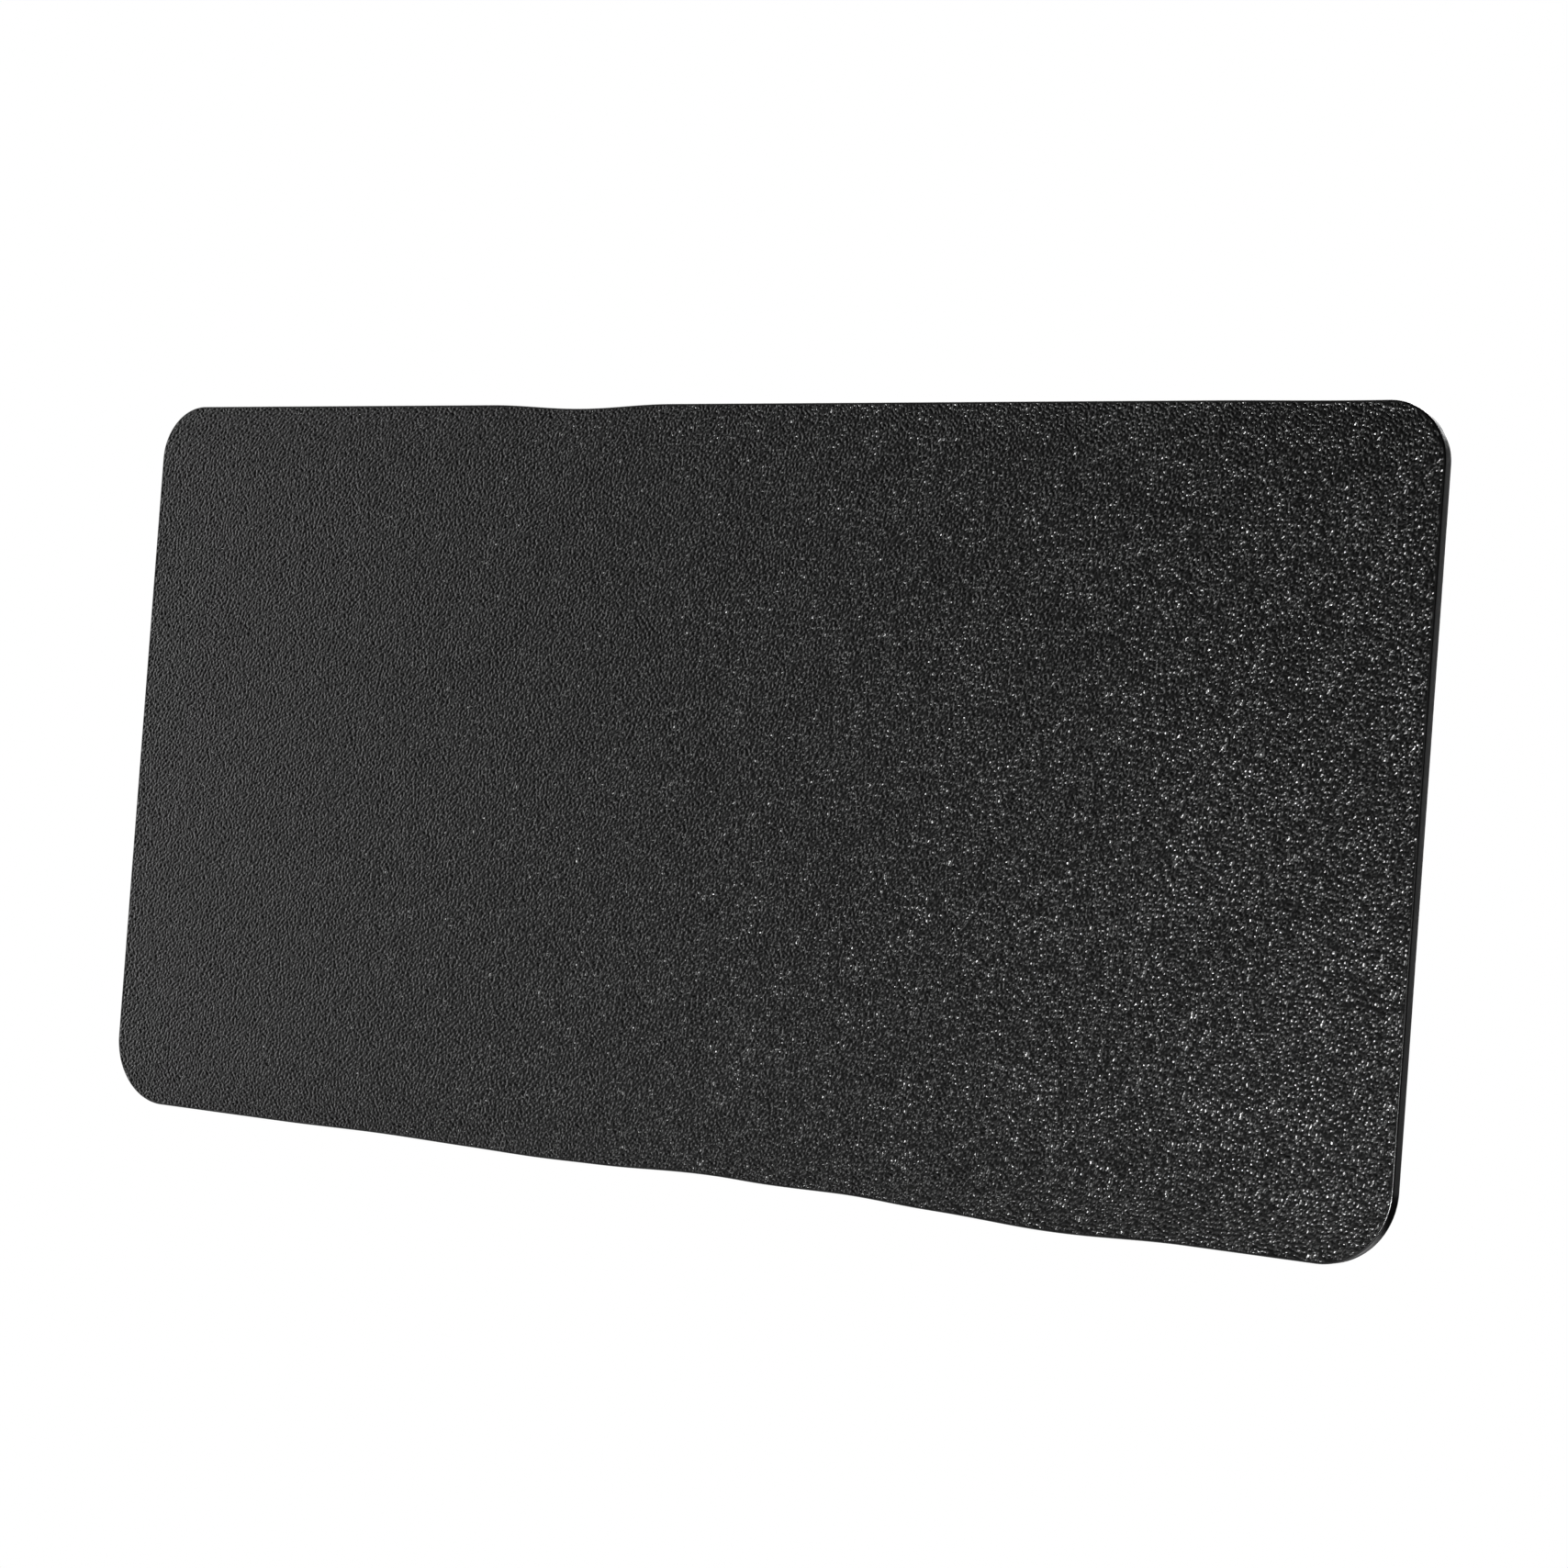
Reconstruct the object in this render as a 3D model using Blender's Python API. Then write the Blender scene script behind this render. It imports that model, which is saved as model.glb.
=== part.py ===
"""A thin wall punch pad, with the hook-and-loop squares that hold it on the wall.

The wall is the plane y = 0 and the striking face looks along -Y. X runs along the pad's width, Z is
up, and the origin is where the wall meets the middle fastener. All sizes are in metres.
"""

import math

import bmesh
import bpy

# The pad's outline. The lower corners are rounder than the upper ones.
PAD_WIDTH = 1.200
PAD_HEIGHT = 0.600
TOP_CORNER_RADIUS = 0.045
BOTTOM_CORNER_RADIUS = 0.055

# The pad's layers, from the face to the wall.
SKIN_THICKNESS = 0.0012
IMPACT_FOAM_THICKNESS = 0.0045
FIRM_FOAM_THICKNESS = 0.0030
BACKING_THICKNESS = 0.0012
FACE_EDGE_RADIUS = 0.0024
REAR_EDGE_RADIUS = 0.0009

# The fastener squares: an adhesive film and a hook tape on the wall, a loop tape on the pad.
FASTENER_WIDTH = 0.100
FASTENER_HEIGHT = 0.050
FASTENER_CORNER_RADIUS = 0.006
FASTENER_MARGIN_X = 0.080
FASTENER_MARGIN_Z = 0.055
FASTENER_COLUMNS = 3
FASTENER_ROWS = 3
ADHESIVE_THICKNESS = 0.0005
HOOK_TAPE_THICKNESS = 0.0013
LOOP_TAPE_THICKNESS = 0.0015
ADHESIVE_INSET = 0.0010

# The gap that keeps touching layers apart, and the facets of a quarter of a circle.
LAYER_GAP = 0.0003
CORNER_FACETS = 10
EDGE_FACETS = 4

# Where each layer's two faces lie, counted from the wall.
HOOK_REAR = -(ADHESIVE_THICKNESS + LAYER_GAP)
LOOP_REAR = HOOK_REAR - HOOK_TAPE_THICKNESS - LAYER_GAP
PAD_REAR = LOOP_REAR - LOOP_TAPE_THICKNESS - LAYER_GAP
FIRM_FOAM_REAR = PAD_REAR - BACKING_THICKNESS - LAYER_GAP
IMPACT_FOAM_REAR = FIRM_FOAM_REAR - FIRM_FOAM_THICKNESS - LAYER_GAP
SKIN_REAR = IMPACT_FOAM_REAR - IMPACT_FOAM_THICKNESS - LAYER_GAP
PAD_FRONT = SKIN_REAR - SKIN_THICKNESS

# The layers inside the skin stop short of its side wall.
CORE_INSET = SKIN_THICKNESS + LAYER_GAP


def clear_scene():
    """Removes whatever objects the file holds."""
    for old in list(bpy.data.objects):
        bpy.data.objects.remove(old, do_unlink=True)


def finish(name, colour, roughness):
    """A plain finish for one kind of piece."""
    material = bpy.data.materials.new(name)
    material.use_nodes = True
    shader = material.node_tree.nodes["Principled BSDF"]
    shader.inputs["Base Color"].default_value = (*colour, 1.0)
    shader.inputs["Roughness"].default_value = roughness
    shader.inputs["Metallic"].default_value = 0.0
    return material


def corner_arc(centre_x, centre_z, radius, start, depth):
    """A quarter circle, anticlockwise from the angle start, in the plane y = depth."""
    points = []
    for step in range(CORNER_FACETS + 1):
        angle = start + math.pi / 2 * step / CORNER_FACETS
        points.append((centre_x + radius * math.cos(angle), depth, centre_z + radius * math.sin(angle)))
    return points


def rounded_outline(width, height, top_radius, bottom_radius, depth):
    """The outline of a rectangle with rounded corners, as points in the plane y = depth."""
    corners = (
        (1, 1, top_radius, 0.0),
        (-1, 1, top_radius, math.pi / 2),
        (-1, -1, bottom_radius, math.pi),
        (1, -1, bottom_radius, 3 * math.pi / 2),
    )
    points = []
    for side_x, side_z, radius, start in corners:
        centre_x = side_x * (width / 2 - radius)
        centre_z = side_z * (height / 2 - radius)
        points += corner_arc(centre_x, centre_z, radius, start, depth)
    return points


def pad_outline(inset, depth):
    """The pad's outline, drawn in by inset all the way round."""
    return rounded_outline(
        PAD_WIDTH - 2 * inset,
        PAD_HEIGHT - 2 * inset,
        TOP_CORNER_RADIUS - inset,
        BOTTOM_CORNER_RADIUS - inset,
        depth,
    )


def fastener_outline(inset, depth):
    """The outline of one fastener square, drawn in by inset all the way round."""
    radius = FASTENER_CORNER_RADIUS - inset
    return rounded_outline(FASTENER_WIDTH - 2 * inset, FASTENER_HEIGHT - 2 * inset, radius, radius, depth)


def loft(name, rings):
    """A closed mesh through rings that have one number of points, capped at both ends."""
    shape = bmesh.new()
    loops = [[shape.verts.new(point) for point in ring] for ring in rings]
    count = len(loops[0])
    for near, far in zip(loops, loops[1:]):
        for i in range(count):
            j = (i + 1) % count
            shape.faces.new((near[i], near[j], far[j], far[i]))
    shape.faces.new(loops[0])
    shape.faces.new(loops[-1])
    bmesh.ops.recalc_face_normals(shape, faces=shape.faces)
    mesh = bpy.data.meshes.new(name)
    shape.to_mesh(mesh)
    shape.free()
    mesh.shade_smooth()
    mesh.set_sharp_from_angle(angle=math.radians(30))
    return mesh


def holder(name, location):
    """An empty that carries the pieces of one body."""
    empty = bpy.data.objects.new(name, None)
    empty.location = location
    bpy.context.scene.collection.objects.link(empty)
    return empty


def place(name, mesh, material, parent, location):
    """An object of that mesh and material, at location under its parent."""
    piece = bpy.data.objects.new(name, mesh)
    if not mesh.materials:
        mesh.materials.append(material)
    piece.parent = parent
    piece.location = location
    bpy.context.scene.collection.objects.link(piece)
    return piece


def skin_mesh():
    """The embossed skin: a shallow tray, open towards the wall, with rounded edges."""
    depth = PAD_REAR - PAD_FRONT
    rings = [pad_outline(SKIN_THICKNESS, SKIN_REAR - PAD_REAR), pad_outline(SKIN_THICKNESS, 0.0)]
    for step in range(EDGE_FACETS + 1):
        angle = math.pi / 2 * step / EDGE_FACETS
        inset = REAR_EDGE_RADIUS * (1 - math.sin(angle))
        rings.append(pad_outline(inset, -REAR_EDGE_RADIUS * (1 - math.cos(angle))))
    for step in range(EDGE_FACETS + 1):
        angle = math.pi / 2 * step / EDGE_FACETS
        inset = FACE_EDGE_RADIUS * (1 - math.cos(angle))
        rings.append(pad_outline(inset, -depth + FACE_EDGE_RADIUS * (1 - math.sin(angle))))
    return loft("face_skin", rings)


def core_mesh(name, thickness):
    """A flat layer inside the skin, from y = 0 towards the face."""
    return loft(name, [pad_outline(CORE_INSET, 0.0), pad_outline(CORE_INSET, -thickness)])


def tape_mesh(name, thickness, inset):
    """One layer of a fastener square, from y = 0 towards the face."""
    return loft(name, [fastener_outline(inset, 0.0), fastener_outline(inset, -thickness)])


def build_pad(pad):
    """The skin, the two foams and the backing sheet."""
    vinyl = finish("face_vinyl", (0.028, 0.028, 0.029), 0.42)
    soft = finish("impact_foam", (0.060, 0.060, 0.065), 0.95)
    firm = finish("firm_foam", (0.045, 0.045, 0.048), 0.90)
    cloth = finish("backing_cloth", (0.020, 0.020, 0.022), 0.85)
    backing = core_mesh("backing_sheet", BACKING_THICKNESS)
    firm_foam = core_mesh("firm_foam", FIRM_FOAM_THICKNESS)
    impact_foam = core_mesh("impact_foam", IMPACT_FOAM_THICKNESS)
    place("backing_sheet", backing, cloth, pad, (0, 0, 0))
    place("firm_foam", firm_foam, firm, pad, (0, FIRM_FOAM_REAR - PAD_REAR, 0))
    place("impact_foam", impact_foam, soft, pad, (0, IMPACT_FOAM_REAR - PAD_REAR, 0))
    place("face_skin", skin_mesh(), vinyl, pad, (0, 0, 0))


def fastener_centres():
    """The centres of the fastener squares, row by row from the top left."""
    reach_x = PAD_WIDTH / 2 - FASTENER_MARGIN_X - FASTENER_WIDTH / 2
    reach_z = PAD_HEIGHT / 2 - FASTENER_MARGIN_Z - FASTENER_HEIGHT / 2
    centres = []
    for row in range(FASTENER_ROWS):
        for column in range(FASTENER_COLUMNS):
            x = reach_x * (2 * column / (FASTENER_COLUMNS - 1) - 1)
            z = reach_z * (1 - 2 * row / (FASTENER_ROWS - 1))
            centres.append((x, z))
    return centres


def build_fasteners(wall_side, pad):
    """Each square's adhesive film and hook tape on the wall, and its loop tape on the pad."""
    glue = finish("adhesive_film", (0.55, 0.55, 0.52), 0.60)
    hooks = finish("hook_tape", (0.025, 0.025, 0.025), 0.55)
    loops = finish("loop_tape", (0.022, 0.022, 0.023), 0.95)
    film = tape_mesh("adhesive_film", ADHESIVE_THICKNESS, ADHESIVE_INSET)
    hook_tape = tape_mesh("hook_tape", HOOK_TAPE_THICKNESS, 0.0)
    loop_tape = tape_mesh("loop_tape", LOOP_TAPE_THICKNESS, 0.0)
    for number, (x, z) in enumerate(fastener_centres(), start=1):
        place(f"adhesive_film_{number}", film, glue, wall_side, (x, 0, z))
        place(f"hook_tape_{number}", hook_tape, hooks, wall_side, (x, HOOK_REAR, z))
        place(f"loop_tape_{number}", loop_tape, loops, pad, (x, LOOP_REAR - PAD_REAR, z))


def main():
    """Builds the pad and its fasteners, each body's pieces under an empty of its own."""
    clear_scene()
    wall_side = holder("wall_side_body", (0, 0, 0))
    pad = holder("pad_body", (0, PAD_REAR, 0))
    build_pad(pad)
    build_fasteners(wall_side, pad)


main()
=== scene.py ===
"""The looks of a thin wall punch pad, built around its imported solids.

The pad is a black vinyl skin with a pebble grain over two foams. A coated cloth closes its back, and
hook-and-loop squares hold it on the wall. All sizes are in metres in the solids' own frame: the wall
is the plane y = 0, the face looks along -Y, X runs along the width and Z is up.
"""

import logging
import math
from dataclasses import dataclass
from enum import Enum

import bpy
import numpy as np
from mathutils import Matrix, Vector


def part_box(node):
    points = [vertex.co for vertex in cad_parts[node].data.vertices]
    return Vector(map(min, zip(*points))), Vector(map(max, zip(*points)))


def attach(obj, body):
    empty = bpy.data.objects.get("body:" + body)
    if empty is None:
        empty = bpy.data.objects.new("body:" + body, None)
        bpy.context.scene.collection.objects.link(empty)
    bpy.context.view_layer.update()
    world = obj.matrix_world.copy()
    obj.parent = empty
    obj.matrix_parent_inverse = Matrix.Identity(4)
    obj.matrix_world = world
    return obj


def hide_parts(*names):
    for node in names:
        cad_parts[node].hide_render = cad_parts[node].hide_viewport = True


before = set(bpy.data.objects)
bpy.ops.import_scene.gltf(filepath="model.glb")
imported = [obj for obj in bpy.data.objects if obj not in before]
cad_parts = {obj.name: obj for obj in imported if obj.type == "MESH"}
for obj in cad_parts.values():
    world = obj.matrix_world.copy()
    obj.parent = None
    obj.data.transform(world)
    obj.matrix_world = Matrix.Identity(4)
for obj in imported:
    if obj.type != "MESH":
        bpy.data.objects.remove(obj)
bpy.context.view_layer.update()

FASTENERS = range(1, 10)
SHARP_EDGE_DEGREES = 40.0

log = logging.getLogger("punch_pad")


class Body(str, Enum):
    """The bodies that pieces ride on."""

    PAD = "pad"
    WALL = "wall_side"


class Facing(Enum):
    """Which way a face of a layer looks."""

    OUT = -1
    WALL = 1


# ------------------------------------------------------------
# Shapes
# ------------------------------------------------------------


@dataclass(frozen=True)
class Wave:
    """A shallow rise or dip along a long edge of a flexible pad."""

    centre: float
    reach: float
    rise: float

    def at(self, x: np.ndarray) -> np.ndarray:
        """How far the edge is moved along Z.

        Args:
            x: places along the edge.

        Returns:
            The rise at each place.
        """
        away = np.clip(np.abs(x - self.centre) / self.reach, 0.0, 1.0)
        return self.rise * 0.5 * (1.0 + np.cos(math.pi * away))


@dataclass(frozen=True)
class Outline:
    """The outline of a rectangle with rounded corners, whose long edges may waver."""

    half_width: float
    half_height: float
    top_radius: float
    bottom_radius: float
    top_waves: tuple[Wave, ...] = ()
    bottom_waves: tuple[Wave, ...] = ()
    least_corner_steps: int = 6

    def warp(self, x: np.ndarray, z: np.ndarray) -> np.ndarray:
        """Moves points with the wavering edges, most at an edge and not at all in the middle.

        Args:
            x: places along the width.
            z: places along the height, in the straight-edged outline.

        Returns:
            The points' new places along the height.
        """
        upper = np.clip(z / self.half_height, 0.0, None) ** 2
        lower = np.clip(-z / self.half_height, 0.0, None) ** 2
        moved = z + sum(wave.at(x) * upper for wave in self.top_waves)
        return moved + sum(wave.at(x) * lower for wave in self.bottom_waves)

    def depth_inside(self, x: np.ndarray, z: np.ndarray) -> np.ndarray:
        """How far inside the straight-edged outline points lie.

        Args:
            x: places along the width.
            z: places along the height.

        Returns:
            The distance to the outline, positive inside.
        """
        radius = np.where(z > 0.0, self.top_radius, self.bottom_radius)
        past_x = np.abs(x) - (self.half_width - radius)
        past_z = np.abs(z) - (self.half_height - radius)
        corner = np.hypot(np.clip(past_x, 0.0, None), np.clip(past_z, 0.0, None))
        return radius - corner - np.minimum(np.maximum(past_x, past_z), 0.0)

    def rows(self, inset: float, step: float) -> tuple[np.ndarray, np.ndarray, np.ndarray]:
        """Rows from the bottom edge to the top one, evenly spaced along the right edge.

        Args:
            inset: how far the outline is drawn in.
            step: the spacing.

        Returns:
            Each row's height, its half width, and the angle of the right edge's outward normal.
        """
        parts = []
        for radius, side in ((self.bottom_radius, -1), (self.top_radius, 1)):
            reach = radius - inset
            count = max(self.least_corner_steps, round(reach * math.pi / 2 / step))
            start = -math.pi / 2 if side < 0 else 0.0
            turn = np.linspace(start, start + math.pi / 2, count + 1)
            high = side * (self.half_height - radius) + reach * np.sin(turn)
            parts.append((high, self.half_width - radius + reach * np.cos(turn), turn))
        low, top = parts
        count = max(2, round((top[0][0] - low[0][-1]) / step))
        straight = np.linspace(low[0][-1], top[0][0], count + 1)[1:-1]
        wide = np.full(len(straight), self.half_width - inset)
        middle = (straight, wide, np.zeros(len(straight)))
        z, half, turn = (np.concatenate([low[i], middle[i], top[i]]) for i in range(3))
        return z, half, turn


class Panel:
    """A grid of points over an outline, with the loop of points round its edge."""

    def __init__(self, outline: Outline, inset: float, step: float) -> None:
        """Lays out the grid.

        Args:
            outline: the outline to fill.
            inset: how far the grid stops short of it.
            step: the spacing of the points.
        """
        self.outline = outline
        high, half, turn = outline.rows(inset, step)
        columns = max(4, round(2 * outline.half_width / step)) + 1
        across = np.linspace(-1.0, 1.0, columns)
        self.x = (half[:, None] * across[None, :]).ravel()
        self.z = np.repeat(high, columns)
        index = np.arange(len(self.x)).reshape(-1, columns)
        self.index = index
        self.loop = np.concatenate([index[0], index[1:, -1], index[-1, -2::-1], index[-2:0:-1, 0]])
        right = np.stack([np.cos(turn), np.sin(turn)], axis=1)
        left = right * (-1.0, 1.0)
        bottom = np.tile((0.0, -1.0), (columns - 1, 1))
        top = np.tile((0.0, 1.0), (columns - 2, 1))
        self.normal = np.concatenate([bottom, right, top, left[::-1][:-1]])

    def grid_points(self, depth: np.ndarray | float) -> np.ndarray:
        """The grid's points.

        Args:
            depth: their place along Y.

        Returns:
            One row of x, y and z for each point.
        """
        y = np.broadcast_to(depth, self.x.shape)
        return np.stack([self.x, y, self.outline.warp(self.x, self.z)], axis=1)

    def ring_points(self, offset: float, depth: float) -> np.ndarray:
        """The loop's points, moved outwards.

        Args:
            offset: how far outwards, in the plane of the panel.
            depth: their place along Y.

        Returns:
            One row of x, y and z for each point.
        """
        x = self.x[self.loop] + self.normal[:, 0] * offset
        z = self.z[self.loop] + self.normal[:, 1] * offset
        return np.stack([x, np.full(len(x), depth), self.outline.warp(x, z)], axis=1)

    def quads(self, facing: Facing) -> np.ndarray:
        """The grid's faces.

        Args:
            facing: which way they look.

        Returns:
            Four point numbers for each face.
        """
        i = self.index
        quads = np.stack([i[:-1, :-1], i[:-1, 1:], i[1:, 1:], i[1:, :-1]], axis=-1).reshape(-1, 4)
        return quads if facing is Facing.OUT else quads[:, ::-1]


class Shell:
    """Collects the points and faces of one closed mesh."""

    def __init__(self) -> None:
        """Starts with nothing in it."""
        self.points: list[np.ndarray] = []
        self.quads: list[np.ndarray] = []
        self.caps: list[np.ndarray] = []
        self.count = 0

    def add(self, points: np.ndarray) -> np.ndarray:
        """Adds points.

        Args:
            points: one row of x, y and z for each.

        Returns:
            Their numbers in the mesh.
        """
        numbers = np.arange(self.count, self.count + len(points))
        self.points.append(points)
        self.count += len(points)
        return numbers

    def strip(self, near: np.ndarray, far: np.ndarray) -> None:
        """Joins two loops that have one number of points.

        Args:
            near: the first loop, anticlockwise for someone who faces the pad.
            far: the loop behind it.
        """
        self.quads.append(np.stack([near, far, np.roll(far, -1), np.roll(near, -1)], axis=1))

    def mesh(self, name: str) -> bpy.types.Mesh:
        """Makes the mesh, shaded smooth.

        Args:
            name: the mesh's name.

        Returns:
            The new mesh.
        """
        quads = np.concatenate(self.quads)
        sizes = np.array([4] * len(quads) + [len(cap) for cap in self.caps])
        corners = np.concatenate([quads.ravel(), *self.caps]).astype(np.int32)
        starts = np.concatenate([[0], np.cumsum(sizes)[:-1]]).astype(np.int32)
        mesh = bpy.data.meshes.new(name)
        mesh.vertices.add(self.count)
        mesh.vertices.foreach_set("co", np.concatenate(self.points).astype(np.float32).ravel())
        mesh.loops.add(len(corners))
        mesh.loops.foreach_set("vertex_index", corners)
        mesh.polygons.add(len(sizes))
        mesh.polygons.foreach_set("loop_start", starts)
        mesh.update(calc_edges=True)
        mesh.validate()
        mesh.shade_smooth()
        mesh.set_sharp_from_angle(angle=math.radians(SHARP_EDGE_DEGREES))
        return mesh


def arc_profile(radius: float, steps: int = 4) -> list[tuple[float, float]]:
    """A quarter circle from a flat face round to a side wall.

    Args:
        radius: the circle's radius.
        steps: how many steps it is cut into.

    Returns:
        For each step after the first point, how far outwards and how far back it lies.
    """
    turns = [math.pi / 2 * step / steps for step in range(1, steps + 1)]
    return [(radius * math.sin(turn), radius * (1.0 - math.cos(turn))) for turn in turns]


def slab(outline: Outline, inset: float, step: float, front: np.ndarray | float, rear: np.ndarray | float,
         edge: float, name: str) -> bpy.types.Mesh:
    """A flat layer with rounded edges, gridded on both faces.

    Args:
        outline: the outline that the layer follows.
        inset: how far its side wall stands inside the outline.
        step: the spacing of the grids.
        front: the front face's place along Y.
        rear: the rear face's place along Y.
        edge: the radius of both edges.
        name: the mesh's name.

    Returns:
        The closed mesh.
    """
    panel = Panel(outline, inset + edge, step)
    shell = Shell()
    near = shell.add(panel.grid_points(front))
    shell.quads.append(near[0] + panel.quads(Facing.OUT))
    far = shell.add(panel.grid_points(rear))
    shell.quads.append(far[0] + panel.quads(Facing.WALL))
    front_y = float(np.mean(front))
    rear_y = float(np.mean(rear))
    rings = [(out, front_y + back) for out, back in arc_profile(edge)]
    rings += [(out, rear_y - back) for out, back in reversed(arc_profile(edge))]
    last = near[0] + panel.loop
    for out, depth in rings:
        ring = shell.add(panel.ring_points(out, depth))
        shell.strip(last, ring)
        last = ring
    shell.strip(last, far[0] + panel.loop)
    return shell.mesh(name)


def eased(share: np.ndarray) -> np.ndarray:
    """A smooth step from 0 to 1.

    Args:
        share: the way along it, 0 at its start and 1 at its end.

    Returns:
        The step's height.
    """
    within = np.clip(share, 0.0, 1.0)
    return within * within * (3.0 - 2.0 * within)


@dataclass(frozen=True)
class Grain:
    """A pebble grain: short, round-topped grains with narrow valleys, no two alike."""

    pitch: float = 0.0035
    spread: float = 0.42
    depth: float = 0.00088
    valley: float = -2.0
    crown: float = 0.1
    seed: int = 11
    cell: float = 0.0005

    def field(self, width: float, height: float) -> np.ndarray:
        """The grain's height over a rectangle.

        Args:
            width: the rectangle's width.
            height: the rectangle's height.

        Returns:
            Heights from 0 in a valley to 1 on a crown, one row for each cell along the height.
        """
        rows, columns = round(height / self.cell), round(width / self.cell)
        noise = np.random.default_rng(self.seed).standard_normal((rows, columns))
        along = np.fft.rfftfreq(columns, self.cell)[None, :]
        up = np.fft.fftfreq(rows, self.cell)[:, None]
        rate = np.hypot(along, up) * self.pitch
        band = np.exp(-0.5 * ((rate - 1.0) / self.spread) ** 2)
        rough = np.fft.irfft2(np.fft.rfft2(noise) * band, s=(rows, columns))
        rough /= rough.std()
        return eased((rough - self.valley) / (self.crown - self.valley))

    def at(self, x: np.ndarray, z: np.ndarray, outline: Outline) -> tuple[np.ndarray, np.ndarray, np.ndarray]:
        """The grain's height and slopes at points of a panel.

        Args:
            x: places along the width.
            z: places along the height.
            outline: the panel's outline.

        Returns:
            Heights from 0 to 1, and how fast they rise along the width and along the height, per metre.
        """
        border = 4 * self.pitch
        high = self.field(2 * (outline.half_width + border), 2 * (outline.half_height + border))
        # A place stays short of the last cell, so that there is always a next one.
        column = np.clip((x + outline.half_width + border) / self.cell, 0, high.shape[1] - 1.001)
        row = np.clip((z + outline.half_height + border) / self.cell, 0, high.shape[0] - 1.001)
        i, j = row.astype(int), column.astype(int)
        u, v = row - i, column - j
        up, along = np.gradient(high, self.cell)
        found = []
        for values in (high, along, up):
            lower = values[i, j] * (1 - v) + values[i, j + 1] * v
            upper = values[i + 1, j] * (1 - v) + values[i + 1, j + 1] * v
            found.append(lower * (1 - u) + upper * u)
        return found[0], found[1], found[2]


# ------------------------------------------------------------
# Finishes
# ------------------------------------------------------------


class NodeBoard:
    """A material with a Principled shader, and short ways to add nodes to it."""

    def __init__(self, name: str) -> None:
        """Makes the material.

        Args:
            name: the material's name.
        """
        self.material = bpy.data.materials.new(name)
        self.material.use_nodes = True
        self.tree = self.material.node_tree
        self.shader = self.tree.nodes["Principled BSDF"]
        place = self.tree.nodes.new("ShaderNodeTexCoord")
        self.place = place.outputs["Object"]

    def node(self, kind: str, **inputs: object) -> bpy.types.Node:
        """Adds a node.

        Args:
            kind: the node's type, without its prefix.
            **inputs: a value or an output for each named input; a double underscore is a space.

        Returns:
            The new node.
        """
        node = self.tree.nodes.new("ShaderNode" + kind)
        for name, value in inputs.items():
            self.feed(node.inputs[name.replace("__", " ")], value)
        return node

    def feed(self, socket: bpy.types.NodeSocket, value: object) -> None:
        """Gives a socket a value, or links an output to it.

        Args:
            socket: the input.
            value: a number, a colour or a node's output.
        """
        if isinstance(value, bpy.types.NodeSocket):
            self.tree.links.new(value, socket)
        else:
            socket.default_value = value

    def noise(self, per_metre: float, detail: float = 2.0, rough: float = 0.5) -> bpy.types.NodeSocket:
        """A noise over the object's own coordinates.

        Args:
            per_metre: how many features a metre holds.
            detail: the number of finer layers.
            rough: how strong those are.

        Returns:
            The noise's value.
        """
        node = self.node("TexNoise", Vector=self.place, Scale=per_metre, Detail=detail, Roughness=rough)
        return node.outputs[0]

    def scaled(self, value: bpy.types.NodeSocket, low: float, high: float, to_low: float,
               to_high: float) -> bpy.types.NodeSocket:
        """Maps one range of a value onto another.

        Args:
            value: the value.
            low: the start of its range.
            high: the end of its range.
            to_low: what the start becomes.
            to_high: what the end becomes.

        Returns:
            The mapped value, kept within the new range.
        """
        node = self.node("MapRange", Value=value)
        for name, number in (("From Min", low), ("From Max", high), ("To Min", to_low), ("To Max", to_high)):
            node.inputs[name].default_value = number
        return node.outputs[0]

    def maths(self, what: str, first: object, second: object) -> bpy.types.NodeSocket:
        """One sum, product or other step.

        Args:
            what: the operation's name.
            first: the first value.
            second: the second value.

        Returns:
            The result.
        """
        node = self.tree.nodes.new("ShaderNodeMath")
        node.operation = what
        self.feed(node.inputs[0], first)
        self.feed(node.inputs[1], second)
        return node.outputs[0]

    def colours(self, value: bpy.types.NodeSocket, stops: tuple[tuple[float, float], ...],
                tint: tuple[float, float, float] = (1.0, 1.0, 1.0)) -> bpy.types.NodeSocket:
        """Colours a value from dark to light.

        Args:
            value: the value, from 0 to 1.
            stops: a place and a lightness for each stop.
            tint: the colour that the lightness multiplies.

        Returns:
            The colour.
        """
        node = self.node("ValToRGB", Fac=value)
        ramp = node.color_ramp
        while len(ramp.elements) < len(stops):
            ramp.elements.new(0.5)
        for element, (place, light) in zip(ramp.elements, stops):
            element.position = place
            element.color = (light * tint[0], light * tint[1], light * tint[2], 1.0)
        return node.outputs[0]

    def threads(self, per_metre: float) -> list[bpy.types.NodeSocket]:
        """Two sets of evenly spaced threads, one across the width and one across the height.

        Args:
            per_metre: how many threads a metre holds.

        Returns:
            A wave from -1 to 1 for each set.
        """
        turn = math.tau * per_metre / 2
        parts = self.node("SeparateXYZ", Vector=self.place)
        along = [self.maths("MULTIPLY", parts.outputs[axis], turn) for axis in (0, 2)]
        return [self.maths("SINE", place, 0.0) for place in along]

    def bump(self, height: bpy.types.NodeSocket, depth: float) -> bpy.types.NodeSocket:
        """A fine relief.

        Args:
            height: the relief, from 0 to 1.
            depth: how deep it is.

        Returns:
            The normal.
        """
        return self.node("Bump", Height=height, Strength=1.0, Distance=depth).outputs[0]

    def dress(self, **inputs: object) -> bpy.types.Material:
        """Feeds the Principled shader.

        Args:
            **inputs: a value or an output for each input; a double underscore is a space.

        Returns:
            The finished material.
        """
        for name, value in inputs.items():
            self.feed(self.shader.inputs[name.replace("__", " ")], value)
        return self.material


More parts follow.
